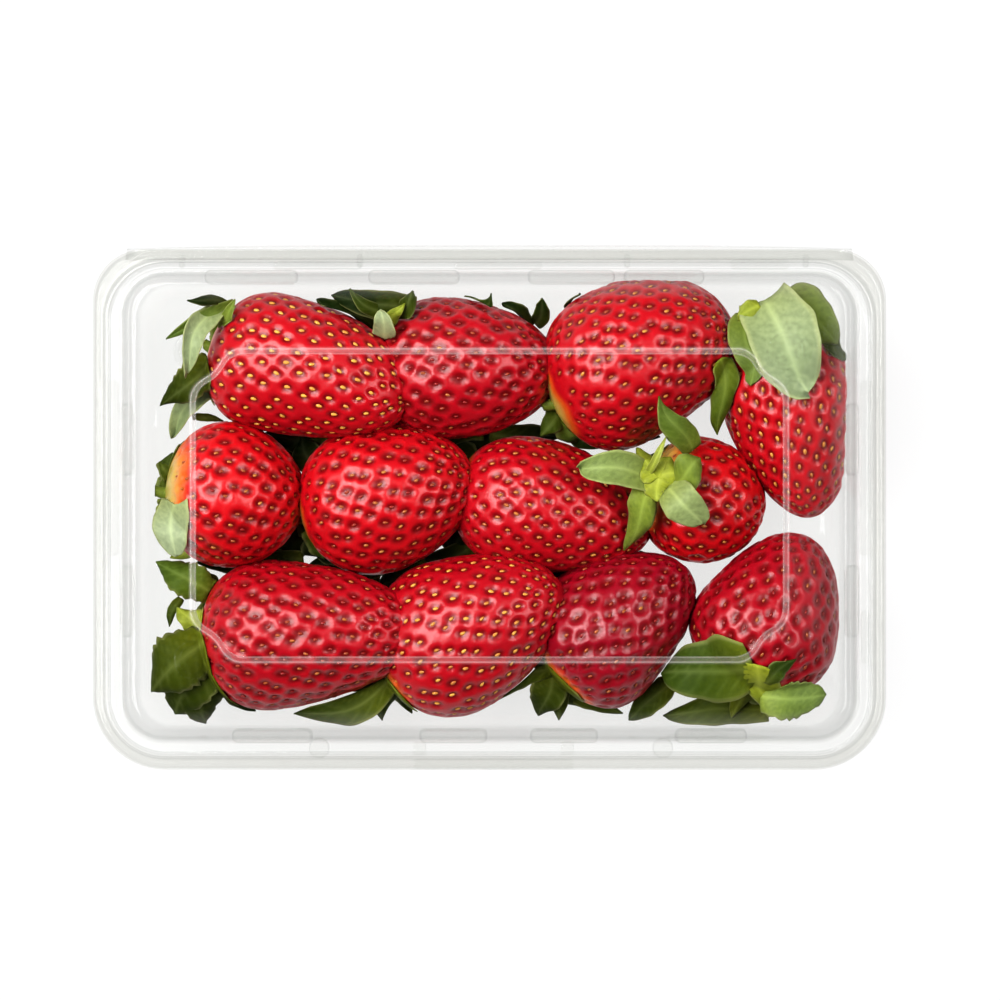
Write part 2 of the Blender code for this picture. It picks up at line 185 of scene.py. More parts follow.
LEAVES = [Leaf(*row) for row in (
    # Cap of fruit 1.
    ((-62, 48, 22), (-71, 49.5, 33), 3, 0.4, 3, 0.03, 0, 35),
    ((-60.5, 48, 24), (-76.5, 39.5, 27), 4, 0.2, 4, 0.4, 0.1, -10),
    ((-65.5, 47, 26), (-72.5, 32.5, 29), 6, 0.3, 5, 0.95, 0.1, -15),
    ((-65.5, 35, 22), (-78, 24, 20), 9, 0.3, 4, 0.06, 0.1, 0, 1),
    ((-66, 31, 16), (-75.5, 17, 12), 6.5, 0.4, 3, 0.85, 0.1, 10),
    ((-71, 21.5, 12), (-63.5, 20.5, 10), 2, 0.2, 2, 0.12, 0.2),
    ((-63, 41.5, 24), (-60, 49, 30), 3, 0.2, 2, 0.5, 0.3),
    # Cap of fruit 2.
    ((-24.5, 41, 14), (-40.5, 50, 26), 10, 0.3, 3, 0.036),
    ((-23, 43.5, 22), (-33, 51.5, 31), 4, 0.3, 2, 0.132, 0.1, 30),
    ((-24, 43, 22), (-18, 51, 30), 5.5, 0.3, 2, 0.096, 0.1, -20),
    ((-25, 38, 24), (-25.5, 46.5, 33), 5.8, 0.6, 2, 1, 0.15),
    ((-17.5, 47, 26), (-37.5, 50, 24), 7, 0.6, 2, 0.03),
    ((-22.5, 41, 14), (-34.5, 47.5, 18), 9, 0.5, 2, 0.02),
    ((-23.5, 41, 24), (-20.5, 48.5, 30), 3.5, 0.2, 2, 0.55, 0.8),
    # Behind the back row.
    ((-5, 46.5, 18), (0.5, 50.5, 28), 3.5, 0.3, 1, 0.15),
    ((10, 43, 14), (3, 48.5, 22), 5, 0.3, 2, 0.03),
    ((11, 43.5, 14), (12.5, 49.5, 24), 4, 0.3, 2, 0.072),
    ((19, 44, 12), (21, 50.5, 24), 4.5, 0.3, 2, 0.06),
    # Cap of fruit 3.
    ((17.5, 24.5, 16), (12, 16.5, 18), 5.5, 0.3, 3, 0.18, 0.1),
    ((18, 21.5, 10), (26.5, 14, 14), 6, 0.3, 2, 0.048),
    ((17, 23, 14), (12.5, 27.5, 14), 4.5, 0.3, 2, 0.06),
    # Cap of fruit 4.
    ((65, 49, 29), (75.4, 27.2, 33), 17, 0.68, 4, 0.9),
    ((69.5, 50.5, 26), (82, 38.8, 27), 11, 0.6, 3, 0.55, 0.25, -10),
    ((79, 42.5, 24), (85.3, 34.8, 22), 5, 0.4, 3, 0.15, 0.1, -15),
    ((61.5, 46, 26), (62, 28.8, 29), 8.5, 0.6, 3, 0.55, 0.15, 15),
    ((53.4, 37.5, 27), (55.6, 17, 23), 7.2, 0.35, 3, 0.28, 0.2, 10),
    ((63.5, 48, 30), (58.5, 44, 30), 4, 0.2, 1, 0.6, 0.7),
    # Cap of fruit 5.
    ((-75, 2, 24), (-74.6, -11.6, 27), 8.5, 0.8, 3, 1, 0.05),
    ((-74.5, 9, 16), (-79, 3, 18), 4, 0.3, 2, 0.18, 0.2, 0, 1),
    ((-74.5, 6, 18), (-78.5, 11, 20), 3.5, 0.3, 2, 0.15, 0.2, 0, 1),
    ((-70, -8.5, 12), (-76.5, -12.5, 10), 3.5, 0.2, 2, 0.5, 0.6),
    # Cap of fruit 9.
    ((-65.5, -20.5, 20), (-79, -13, 18), 9.5, 0.4, 4, 0.3, 0.1, 10, 1),
    ((-65, -22, 14), (-71.5, -14, 12), 6, 0.3, 3, 0.09, 0.2),
    ((-74, -21.5, 12), (-77, -28.5, 10), 2.5, 0.2, 2, 0.18, 0.1),
    ((-67, -30, 20), (-74, -23.5, 20), 6.5, 0.4, 2, 0.62, 0.85),
    ((-66.5, -31, 24), (-81, -44, 22), 15, 0.75, 5, 0.1, 0.15, 0, 1),
    ((-66, -34.5, 20), (-67, -52, 15), 13, 0.75, 4, 0.06, 0.1, 0, 1),
    ((-66, -33, 21), (-75, -50, 17), 14, 0.8, 4, 0.08, 0.1, 0, 1),
    ((-65, -38, 12), (-55.5, -49, 10), 7, 0.35, 3, 0.036),
    # Cap of fruit 10.
    ((-23, -41, 22), (-46, -50.5, 16), 8.5, 0.1, 3, 0.1, 0.1, 10),
    ((-22.5, -39.5, 20), (-24.5, -50.5, 14), 5.5, 0.2, 2, 0.18, 0.1, -20),
    ((-23, -38, 12), (-40, -43.5, 10), 6, 0.3, 2, 0.024),
    # Cap of fruit 11.
    ((15, -38, 20), (-1, -47, 14), 6, 0.3, 3, 0.144, 0.1),
    ((14.5, -39, 18), (12, -50.5, 12), 9, 0.35, 4, 0.072, 0.1),
    ((16, -41, 16), (16.5, -50.5, 12), 6, 0.3, 2, 0.096, 0.15),
    ((16, -42, 12), (32, -49, 10), 5.5, 0.3, 2, 0.084, 0.15),
    # Cap of fruit 12.
    ((61.5, -38, 27), (40, -39, 23), 14.5, 0.75, 4, 0.21, 0.05),
    ((43, -42, 14), (33, -51, 12), 6.5, 0.5, 2, 0.12, 0.1),
    ((66, -47.5, 14), (41.5, -49, 10), 8, 0.5, 2, 0.14, 0.15),
    ((64, -45, 26), (78.8, -44.5, 24), 10.5, 0.75, 3, 0.62, 0.12, 0, 1),
    ((65, -41.5, 30), (70.5, -35, 32), 5, 0.35, 3, 0.18),
    ((62.5, -37, 26), (65.5, -49.5, 20), 6, 0.4, 4, 0.45, 0.75),
    ((61.5, -38, 20), (58.5, -50, 14), 6, 0.4, 3, 0.168, 0.5),
    # Cap of fruit 8, which faces up.
    ((37, 7.5, 32), (21, 10, 35), 8.5, 0.75, 3, 0.72, 0.2),
    ((47.5, 13, 31), (40, 25.7, 37), 7, 0.15, 3, 0.42, 0.15, 15),
    ((37, 8, 33), (41.5, 16.5, 37), 2, 0.2, 3, 0.75, 0.8),
    ((43, 5, 33), (50.5, 12, 36), 8, 0.6, 3, 0.55, 0.3),
    ((41.7, 4.4, 34), (49.8, -3.2, 34), 9.5, 0.85, 4, 0.82, 0.2),
    ((38.8, 5, 33), (31.6, -10.4, 24), 7.2, 0.3, 4, 0.55, 0.35),
    ((37.5, 9, 30), (35, 13.5, 24), 5, 0.3, 2, 0.5, 0.7),
    *(((39.6, 7, 34), tip, width, 0.5, 0.5, tone, 0.9) for tip, width, tone in (
        ((45.5, 9, 34.5), 6.5, 0.62), ((42.5, 12, 34), 6, 0.58), ((36.5, 11, 33), 6.5, 0.55),
        ((35, 4.5, 32.5), 6.5, 0.62), ((39.5, 1.5, 33.5), 6.5, 0.66))),
    # Near-black leaves deep between the fruits, sheets whose dark colour is painted shade in the
    # gaps.
    ((-35.5, 12, 8), (-56, 15.5, 6), 11, 0.6), ((-15, -13.5, 8), (-27, -19, 6), 9, 0.6),
    ((9, -14, 8), (29, -17.5, 6), 9.5, 0.6), ((-17, 20, 8), (-31, 21, 6), 8, 0.6),
    ((3, 15, 8), (-13, 17, 6), 9, 0.6), ((-41, 9, 12), (-45.5, 17, 9), 8, 0.4),
    ((-40.5, -5, 12), (-39, -13, 8), 8.5, 0.4), ((-40, 2, 12), (-46, 7, 10), 7, 0.4),
    ((-33, -11.5, 10), (-42, -10.5, 8), 6, 0.4), ((-4.5, 9, 12), (-12.5, 17, 9), 9, 0.4),
    ((-5, -3, 12), (-9.5, -11, 8), 10, 0.4), ((-3.5, -9.5, 10), (-17, -14, 7), 6, 0.4),
    ((-1.5, 17, 12), (-21, 17, 8), 6, 0.4), ((0, 17.5, 12), (17.5, 16.5, 8), 6.5, 0.4),
    ((19.5, -11.5, 10), (37.5, -12, 7), 6, 0.4), ((-44.5, -12.5, 10), (-62.5, -14, 7), 5, 0.4),
    ((27.5, 16, 11), (40.5, 17, 8), 5, 0.4), ((-44, -3.5, 9), (-54, -12.5, 6), 10.5, 0.6),
    ((-26, -15.5, 6), (-44, -13.5, 6), 8, 0.6), ((-56, -13.5, 6), (-70, -13.5, 8), 5, 0.5, 1, 0.02),
    ((-37, 15, 9), (-53.5, 17.5, 7), 7, 0.6), ((6, 18.5, 9), (-13, 13.5, 7), 9, 0.6),
    ((3, -14, 9), (-13.5, -5, 8), 10, 0.6), ((6, -14, 8), (30, -19.5, 8), 8, 0.6),
    ((-24, -12, 7), (-39, -17, 7), 6, 0.6), ((-46, -11, 8), (-61, -13, 7), 6, 0.6),
)]


# ---- nodes

def plug(tree, item, sockets):
    """Gives sockets, by name or number, a plain value or a link from another node's output."""
    for key, value in sockets.items():
        socket = item.inputs[key]
        if isinstance(value, bpy.types.NodeSocket):
            tree.links.new(value, socket)
        else:
            socket.default_value = (*value, 1.0) if socket.type == "RGBA" else value
    return item


def node(tree, kind, sockets=None, **values):
    """Adds the node ShaderNode<kind>, with its properties and its sockets."""
    item = tree.nodes.new("ShaderNode" + kind)
    for key, value in values.items():
        setattr(item, key, value)
    return plug(tree, item, sockets or {})


def attribute(tree, name):
    return node(tree, "Attribute", attribute_name=name).outputs["Fac"]


def facing(tree, blend):
    """0 where the surface is seen square on, 1 at a grazing slant."""
    return node(tree, "LayerWeight", {"Blend": blend}).outputs["Facing"]


def noise(tree, scale, detail):
    place = node(tree, "TexCoord").outputs["Object"]
    sockets = {"Vector": place, "Scale": scale, "Detail": detail}
    return node(tree, "TexNoise", sockets).outputs["Fac"]


def mix_colour(tree, factor, first, second, blend="MIX"):
    """Mixes two colours, each a node output or a plain colour."""
    sockets = {0: factor, 6: first, 7: second}
    return node(tree, "Mix", sockets, data_type="RGBA", blend_type=blend).outputs[2]


def mix_shader(tree, factor, first, second):
    return node(tree, "MixShader", {0: factor, 1: first, 2: second}).outputs[0]


def colour_ramp(tree, factor, stops):
    """A ramp through stops of (position, colour), in rising order."""
    item = node(tree, "ValToRGB", {0: factor})
    elements = item.color_ramp.elements
    for element, (position, colour) in zip(tuple(elements), (stops[0], stops[-1])):
        element.position, element.color = position, (*colour, 1.0)
    for position, colour in stops[1:-1]:
        elements.new(position).color = (*colour, 1.0)
    return item.outputs[0]


def bump(tree, height, strength, distance):
    sockets = {"Strength": strength, "Distance": distance, "Height": height}
    return node(tree, "Bump", sockets).outputs[0]


def new_material(name):
    material = bpy.data.materials.new(name)
    material.use_nodes = True
    return material, material.node_tree, material.node_tree.nodes["Principled BSDF"]


# ---- camera, light

def put_in_scene(name, data):
    item = bpy.data.objects.new(name, data)
    bpy.context.scene.collection.objects.link(item)
    return item


def make_camera():
    """Straight above, as in the photograph."""
    data = bpy.data.cameras.new("camera")
    data.sensor_width = 36.0
    data.lens = CAMERA_LENS
    data.clip_end = 10.0
    camera = put_in_scene("camera", data)
    camera.location = CAMERA_PLACE
    bpy.context.scene.camera = camera


def softbox(name, place, size, power):
    """A rectangular light that faces the punnet."""
    light = bpy.data.lights.new(name, "AREA")
    light.shape = "RECTANGLE"
    light.size, light.size_y = size
    light.energy = power
    item = put_in_scene(name, light)
    item.location = place
    direction = item.location - Vector(LIGHT_TARGET)
    item.rotation_euler = direction.to_track_quat("Z", "Y").to_euler()


def make_world():
    """A dim room: light grey by the table, dark overhead."""
    world = bpy.data.worlds.new("studio")
    bpy.context.scene.world = world
    world.use_nodes = True
    tree = world.node_tree
    tree.nodes.clear()
    place = node(tree, "TexCoord").outputs["Generated"]
    height = node(tree, "SeparateXYZ", {0: place}).outputs["Z"]
    sky = colour_ramp(tree, height, ((0.02, (0.45, 0.45, 0.445)), (0.20, (0.12, 0.12, 0.12)),
                                     (0.50, (0.018, 0.018, 0.02))))
    shader = node(tree, "Background", {"Color": sky, "Strength": 1.0})
    node(tree, "OutputWorld", {"Surface": shader.outputs[0]})


def make_floor():
    """A white floor lit from below like a light table, which gives the photo's even white."""
    mesh = bpy.data.meshes.new("floor")
    sides = bmesh.new()
    bmesh.ops.create_grid(sides, x_segments=1, y_segments=1, size=FLOOR_HALF_SIZE)
    sides.to_mesh(mesh)
    sides.free()
    floor = put_in_scene("floor", mesh)
    floor.location = (0.0, 0.0, -FLOOR_GAP)
    material, tree, shader = new_material("white_table")
    plug(tree, shader, {
        "Base Color": (0.08, 0.08, 0.08), "Roughness": 0.9, "Specular IOR Level": 0.1,
        "Emission Color": (1.0, 1.0, 1.0), "Emission Strength": 0.87,
    })
    mesh.materials.append(material)


# ---- materials

def make_plastic():
    """Clear formed sheet: greyer at a slant and where it is thick, and painted white at the panel
    step's tight folds as a painted highlight.
    """
    material, tree, shader = new_material("clear_sheet")
    tree.nodes.remove(shader)
    tint = mix_colour(tree, facing(tree, 0.065), (0.993, 0.994, 0.991), (0.84, 0.85, 0.84))
    greyer = mix_colour(tree, 1.0, tint, (0.958, 0.958, 0.952), "MULTIPLY")
    tint = mix_colour(tree, attribute(tree, "thick"), tint, greyer)
    clear = node(tree, "BsdfTransparent", {"Color": tint}).outputs[0]
    gloss = {"Roughness": 0.03, "Color": (0.45, 0.45, 0.45)}
    gloss = node(tree, "BsdfGlossy", gloss).outputs[0]
    sheet = mix_shader(tree, 0.013, clear, gloss)
    sheet = mix_shader(tree, facing(tree, 0.026), sheet, gloss)
    white = {"Color": (0.92, 0.92, 0.92)}
    milk = [node(tree, kind, white).outputs[0]
            for kind in ("BsdfDiffuse", "BsdfTranslucent")]
    whitened = mix_shader(tree, attribute(tree, "haze_and_highlight"), sheet, mix_shader(tree, 0.5, *milk))
    plug(tree, tree.nodes["Material Output"], {"Surface": whitened})
    return material


def make_skin():
    """Red skin, with painted shade deeper in the pits, and paler round the stalk."""
    material, tree, shader = new_material("strawberry_skin")
    # The fruit's tone is partly its own red and partly painted shade and light on whole fruits.
    ripe = mix_colour(tree, attribute(tree, "tone"), (0.20, 0.0003, 0.0135), (0.46, 0.0020, 0.0075))
    brighter = mix_colour(tree, 0.30, ripe, (0.52, 0.0080, 0.012))
    ripe = mix_colour(tree, noise(tree, 95.0, 3.0), ripe, brighter)
    # Painted shade: the skin in each seed pit is painted a deeper red.
    pit = mix_colour(tree, 0.88, ripe, (0.13, 0.0002, 0.0010))
    skin = mix_colour(tree, attribute(tree, "pit"), ripe, pit)
    pale = attribute(tree, "pale")
    unripe = colour_ramp(tree, pale, ((0.0, (0.45, 0.016, 0.006)), (0.55, (0.54, 0.12, 0.015)),
                                      (1.0, (0.45, 0.36, 0.09))))
    start = node(tree, "MapRange", {0: pale, "From Max": 0.35}).outputs[0]
    plug(tree, shader, {
        "Base Color": mix_colour(tree, start, skin, unripe),
        "Roughness": 0.34, "IOR": 1.46, "Coat Weight": 0.10, "Coat Roughness": 0.17,
        "Subsurface Weight": 0.15, "Subsurface Radius": (1.0, 0.25, 0.15),
        "Subsurface Scale": 1.6 * MM,
        "Normal": bump(tree, noise(tree, 1500.0, 2.0), 0.25, 0.12 * MM),
    })
    return material


def make_seed():
    material, tree, shader = new_material("achene")
    colour = mix_colour(tree, attribute(tree, "gold"), (0.22, 0.008, 0.006), (0.58, 0.31, 0.06))
    plug(tree, shader, {"Base Color": colour, "Roughness": 0.35})
    return material


def make_leaf():
    """Greens from the dark upper side to the pale underside, with veins and a painted highlight
    along the rim.
    """
    material, tree, shader = new_material("strawberry_leaf")
    tone = attribute(tree, "tone")
    mottle = noise(tree, 900.0, 4.0)
    # The ramp's near-black low end is painted shade, used for the leaves deep in the gaps.
    green = colour_ramp(tree, tone, (
        (0.0, (0.0025, 0.005, 0.0004)), (0.15, (0.022, 0.040, 0.002)),
        (0.30, (0.055, 0.095, 0.010)), (0.60, (0.145, 0.215, 0.050)),
        (1.0, (0.335, 0.385, 0.245))))
    yellowed = mix_colour(tree, 0.72, green, (0.36, 0.37, 0.02))
    plain = mix_colour(tree, attribute(tree, "gold"), green, yellowed)
    lighter = mix_colour(tree, 0.10, plain, (0.36, 0.44, 0.20))
    darker = mix_colour(tree, 0.60, plain, (0.01, 0.03, 0.003))
    colour = mix_colour(tree, mottle, darker, plain)
    colour = mix_colour(tree, attribute(tree, "vein"), colour, lighter)
    # Painted highlight: the leaf's edge is painted paler.
    rim = mix_colour(tree, 0.35, colour, (0.42, 0.42, 0.18))
    dull = node(tree, "MapRange", {0: tone, "To Min": 0.03, "To Max": 0.35}).outputs[0]
    plug(tree, shader, {
        "Base Color": mix_colour(tree, attribute(tree, "edge"), colour, rim),
        "Roughness": 0.50, "IOR": 1.40, "Specular IOR Level": dull,
        "Normal": bump(tree, mottle, 0.5, 0.15 * MM),
    })
    return material


# ---- meshes

def add_piece(name, points, faces, material, body, slot, attributes=None, crisp=None):
    """Makes a mesh piece from points in millimetres, and rides it on its body.

    attributes are values per point that the material reads, and crisp is the angle in
    degrees from which an edge stays sharp.
    """
    mesh = bpy.data.meshes.new(name)
    mesh.from_pydata(np.asarray(points, float) * MM, [], faces)
    mesh.validate()
    for key, values in (attributes or {}).items():
        data = mesh.attributes.new(key, "FLOAT", "POINT")
        data.data.foreach_set("value", np.asarray(values, np.float32))
    mesh.shade_smooth()
    if crisp:
        mesh.set_sharp_from_angle(angle=math.radians(crisp))
    mesh.materials.append(material)
    item = put_in_scene(name, mesh)
    if body:
        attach(item, body)
    return item


def grid_faces(rows, columns, closed=True, start=0):
    """Quads of a grid of points; closed joins the last column to the first."""
    faces = []
    last = columns if closed else columns - 1
    for row in range(rows - 1):
        a = start + row * columns
        b = a + columns
        for column in range(last):
            following = (column + 1) % columns
            faces.append((a + column, a + following, b + following, b + column))
    return faces


def ring_stack(rings, ends=None):
    """A closed solid skinned over rings of points, with a fan at each end to its middle point."""
    count = len(rings[0])
    ends = (rings[0].mean(0), rings[-1].mean(0)) if ends is None else ends
    points = np.concatenate((*rings, ends))
    faces = grid_faces(len(rings), count)
    first = count * len(rings)
    low = first - count
    for k in range(count):
        following = (k + 1) % count
        faces += [(first, following, k), (first + 1, low + k, low + following)]
    return points, faces


def ring_normals(grid):
    """Normals of a grid of points whose rows are closed rings."""
    down = np.gradient(grid, axis=0)
    across = np.roll(grid, -1, axis=1) - np.roll(grid, 1, axis=1)
    return unit(np.cross(across, down))


def running(steps):
    """Length run at each point of a line, from the lengths of its steps."""
    return np.concatenate(((0.0,), np.cumsum(steps)))


def join_parts(parts):
    """Joins pairs of points and faces to one pair."""
    points, faces, start = [], [], 0
    for part_points, part_faces in parts:
        points.append(part_points)
        faces += [tuple(start + corner for corner in face) for face in part_faces]
        start += len(part_points)
    return np.concatenate(points), faces


def unit(vectors):
    return vectors / np.maximum(np.linalg.norm(vectors, axis=-1, keepdims=True), 1e-9)


def smooth_step(low, high, value):
    part = np.clip((value - low) / (high - low), 0.0, 1.0)
    return part * part * (3.0 - 2.0 * part)


# ---- strawberries

def berry_radius(berry, part):
    """Radius of the fruit at a part of its length, 0 at the stalk and 1 at the tip."""
    part = np.asarray(part, float)
    before = np.clip((berry.shoulder - part) / berry.shoulder, 0.0, 1.0)
    after = np.clip((part - berry.shoulder) / (1.0 - berry.shoulder), 0.0, 1.0)
    near = (1.0 - before ** 2.3) ** (1 / 2.1)
    far = (1.0 - after ** berry.taper) ** (1 / berry.fullness)
    return berry.width / 2 * np.where(part < berry.shoulder, near, far)


def berry_turn(berry):
    """Turns the fruit's own axis, +X from stalk to tip, to its heading and tilt."""
    turn, tilt = math.radians(berry.heading), math.radians(-berry.tilt)
    c, s = math.cos(turn), math.sin(turn)
    heading = np.array(((c, -s, 0), (s, c, 0), (0, 0, 1)))
    c, s = math.cos(tilt), math.sin(tilt)
    tilt = np.array(((c, 0, s), (0, 1, 0), (-s, 0, c)))
    return heading @ tilt


def own_points(berry, part, angle):
    """Points of the smooth fruit about its own middle."""
    radius = berry_radius(berry, part)
    lumps = 1.0 + 0.012 * np.sin(2 * angle + 5 * part + 7 * berry.spin)
    lumps += 0.010 * np.sin(3 * angle - 7 * part + 3 * berry.spin)
    radius = radius * lumps
    along = (part - 0.5) * berry.length
    side = berry.bend * (1.0 - (2.0 * part - 1.0) ** 2)
    return np.stack((along, side + radius * np.cos(angle), radius * np.sin(angle)), axis=-1)


def rest_offset(berry):
    """Where the fruit's middle goes, so that its lowest point lies on the floor."""
    part = np.linspace(0.01, 0.99, 60)[:, None]
    angle = np.linspace(0, 2 * math.pi, 60)[None, :]
    points = own_points(berry, part + 0 * angle, angle + 0 * part) @ berry_turn(berry).T
    return np.array((berry.x, berry.y, REST_HEIGHT - points[..., 2].min()))


def flange_part(inset):
    """1 at the flange's edge, 0 from the rim inwards."""
    return np.maximum(1.0 - np.asarray(inset) / FLANGE_FADE, 0.0)


def rim_box(inset):
    """Sides of the rounded rectangle that lies inset from the flange's edge."""
    saving = BACK_SAVING * np.minimum(np.asarray(inset) / RIM_WIDTH, 1.0)
    saving = saving + BACK_FLANGE * flange_part(inset)
    return LENGTH / 2 - inset, FRONT_EDGE + inset, BACK_EDGE - inset + saving


def keep_inside(points):
    """Presses points that would cross the tray's wall or floor against them."""
    height = np.maximum(points[..., 2], REST_HEIGHT)
    rise = np.clip((height - WALL_FOOT[1]) / (WALL_TOP[1] - WALL_FOOT[1]), 0.0, 1.0)
    inset = WALL_FOOT[0] + (WALL_TOP[0] - WALL_FOOT[0]) * rise
    drop = np.clip(WALL_FOOT[1] - height, 0.0, FOOT_RADIUS)
    inset += FOOT_RADIUS - np.sqrt(FOOT_RADIUS ** 2 - drop ** 2)
    half_length, front, back = rim_box(inset + WALL_CLEARANCE)
    x = np.clip(points[..., 0], -half_length, half_length)
    y = np.clip(points[..., 1], front, back)
    return np.stack((x, y, height), axis=-1)


OFFSETS = [rest_offset(berry) for berry in BERRIES]


def placed(berry, part, angle):
    """Points of the smooth fruit in the tray."""
    offset = OFFSETS[BERRIES.index(berry)]
    return keep_inside(own_points(berry, part, angle) @ berry_turn(berry).T + offset)


def seed_places(berry, rng):
    """Parts and angles of the achenes: a golden-angle spiral with even spacing."""
    part = np.linspace(0.0, 1.0, 800)
    radius = berry_radius(berry, part)
    step = np.hypot(np.diff(radius), np.diff(part) * berry.length)
    middle = (part[1:] + part[:-1]) / 2
    density = 1.0 + 0.9 * smooth_step(0.75, 1.0, middle)
    area = 2 * math.pi * (radius[1:] + radius[:-1]) / 2 * step * density
    total = running(area)
    count = int(total[-1] / (berry.spacing ** 2 * math.sqrt(0.75)))
    wanted = (np.arange(count) + 0.5) / count * total[-1]
    parts = np.interp(wanted, total, part)
    angles = np.arange(count) * GOLDEN_ANGLE + berry.spin * 2.1
    parts = np.clip(parts + rng.normal(0, 0.006, count), 0.01, 0.992)
    angles = angles + rng.normal(0, 0.035, count)
    keep = parts > 0.045
    return parts[keep], angles[keep]


def frame_at(berry, part, angle):
    """Surface point, normal and lengthwise tangent."""
    small = 2e-3
    here = placed(berry, part, angle)
    tangent = unit(placed(berry, np.minimum(part + small, 0.998), angle)
                   - placed(berry, np.maximum(part - small, 0.002), angle))
    round_about = unit(placed(berry, part, angle + small) - placed(berry, part, angle - small))
    return here, unit(np.cross(round_about, tangent)), tangent


def make_berry(index, berry, material, rng):
    """One fruit with a pit for every seed. Returns what make_seeds needs."""
    sample = np.linspace(0.0, 1.0, 4000)
    profile = berry_radius(berry, sample)
    run = running(np.hypot(np.diff(profile), np.diff(sample) * berry.length))
    part = np.interp(np.linspace(0, run[-1], BERRY_ROWS + 2)[1:-1], run, sample)
    angle = np.linspace(0, 2 * math.pi, BERRY_COLUMNS, endpoint=False)
    parts, angles = np.meshgrid(part, angle, indexing="ij")
    base = placed(berry, parts, angles)
    poles = placed(berry, np.array((1e-5, 1 - 1e-5)), np.array((0.0, 0.0)))
    normal = ring_normals(base)
    centre = base.mean(axis=(0, 1))
    if ((base - centre) * normal).sum() < 0:
        normal = -normal

    seed_part, seed_angle = seed_places(berry, rng)
    seed_at, seed_normal, seed_tangent = frame_at(berry, seed_part, seed_angle)
    flip = ((seed_at - centre) * seed_normal).sum(axis=-1) < 0
    seed_normal[flip] *= -1
    size = rng.normal(1.0, 0.09, len(seed_part))
    size = size * (1.0 - 0.30 * smooth_step(0.72, 1.0, seed_part))
    size *= 0.75 + 0.25 * smooth_step(0.05, 0.22, seed_part)

    # Distance of each skin point from its nearest seed, in long ovals.
    flat = base.reshape(-1, 3).astype(np.float32)
    spots = seed_at.astype(np.float32)
    gap = (flat ** 2).sum(1)[:, None] + (spots ** 2).sum(1)[None, :] - 2 * flat @ spots.T
    along = flat @ seed_tangent.astype(np.float32).T - (spots * seed_tangent).sum(1)[None, :]
    gap = np.maximum(gap, 0.0)
    reach = np.sqrt(np.maximum(gap - along ** 2, 0) / 0.86 ** 2 + along ** 2 / 1.16 ** 2)
    reach = reach / size[None, :].astype(np.float32)
    nearest = reach.min(axis=1).reshape(parts.shape)
    rim = nearest / (PIT_RADIUS * berry.spacing * (1.0 - 0.14 * berry.gold))
    deepest = PIT_DEPTH * berry.spacing
    hollow = np.clip(1.0 - rim ** 2.2, 0.0, 1.0)
    crown = smooth_step(0.9, 1.3, rim)
    fade = smooth_step(0.02, 0.10, parts)
    depth = deepest * hollow * fade - CROWN * crown * fade
    rough = 0.05 * np.sin(parts * 61 + 3 * angles) * np.sin(7 * angles + 13 * parts)
    surface = keep_inside(base - normal * (depth + rough)[..., None])
    points, faces = ring_stack(surface, poles)

    pale_side = math.radians(berry.pale_side)
    toward = np.array((math.cos(pale_side), math.sin(pale_side), 0.15))
    side = (unit(base - centre) * toward).sum(-1)
    wave = 0.35 * np.sin(4 * angles + 6 * berry.spin) + 0.25 * np.sin(7 * angles + berry.spin)
    pale = berry.pale * (0.55 + 0.75 * np.clip(side, -0.4, 1.0)) * (1 + 0.3 * wave)
    pale = 1.0 - smooth_step(0.0, 1.0, parts / np.maximum(pale, 0.02))
    # pit is the mask of the painted shade in the seed pits.
    values = {
        "pit": np.concatenate(((fade * (1.0 - smooth_step(0.45, 1.0, rim))).ravel(), (0, 0))),
        "pale": np.concatenate((pale.ravel(), (1, 0))),
        "tone": np.full(len(points), berry.tone),
    }
    name = f"strawberry_{index:02d}"
    piece = add_piece(name, points, faces, material, "tray", "strawberry", values)
    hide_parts("strawberries")
    return seed_at - seed_normal * (deepest * 0.86), seed_normal, seed_tangent, size


def make_seeds(all_seeds, material, rng):
    """Every achene as one joined mesh of pointed ovals."""
    angle = 2 * math.pi * np.arange(SEED_SIDES) / SEED_SIDES
    rings = []
    for ring in range(1, SEED_RINGS):
        turn = math.pi * ring / SEED_RINGS
        wide = math.sin(turn) * (1.0 - 0.25 * (1 - math.cos(turn)) / 2)
        x = np.full(SEED_SIDES, -math.cos(turn))
        rings.append(np.stack((x, wide * np.cos(angle), wide * np.sin(angle)), 1))
    oval, oval_faces = ring_stack(rings, ((-1.0, 0.0, 0.0), (1.12, 0.0, 0.0)))
    oval = oval * SEED_SIZE
    parts, golds = [], []
    for berry, (places, normals, tangents, size) in zip(BERRIES, all_seeds):
        across = unit(np.cross(normals, tangents))
        tangents = unit(np.cross(across, normals))
        for k in range(len(places)):
            lean = rng.normal(0, 0.22)
            along = tangents[k] * math.cos(lean) + across[k] * math.sin(lean)
            aside = across[k] * math.cos(lean) - tangents[k] * math.sin(lean)
            shape = oval * (0.55 + 0.45 * size[k]) * (0.80 + 0.22 * berry.gold)
            parts.append((places[k] + shape @ (along, aside, normals[k]), oval_faces))
            gold = np.clip(berry.gold + rng.normal(0, 0.16), 0, 1)
            golds.append(np.full(len(oval), gold))
    points, faces = join_parts(parts)
    piece = add_piece("achenes", points, faces, material, "tray", "strawberry",
                      {"gold": np.concatenate(golds)})
    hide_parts("strawberries")


# ---- leaves

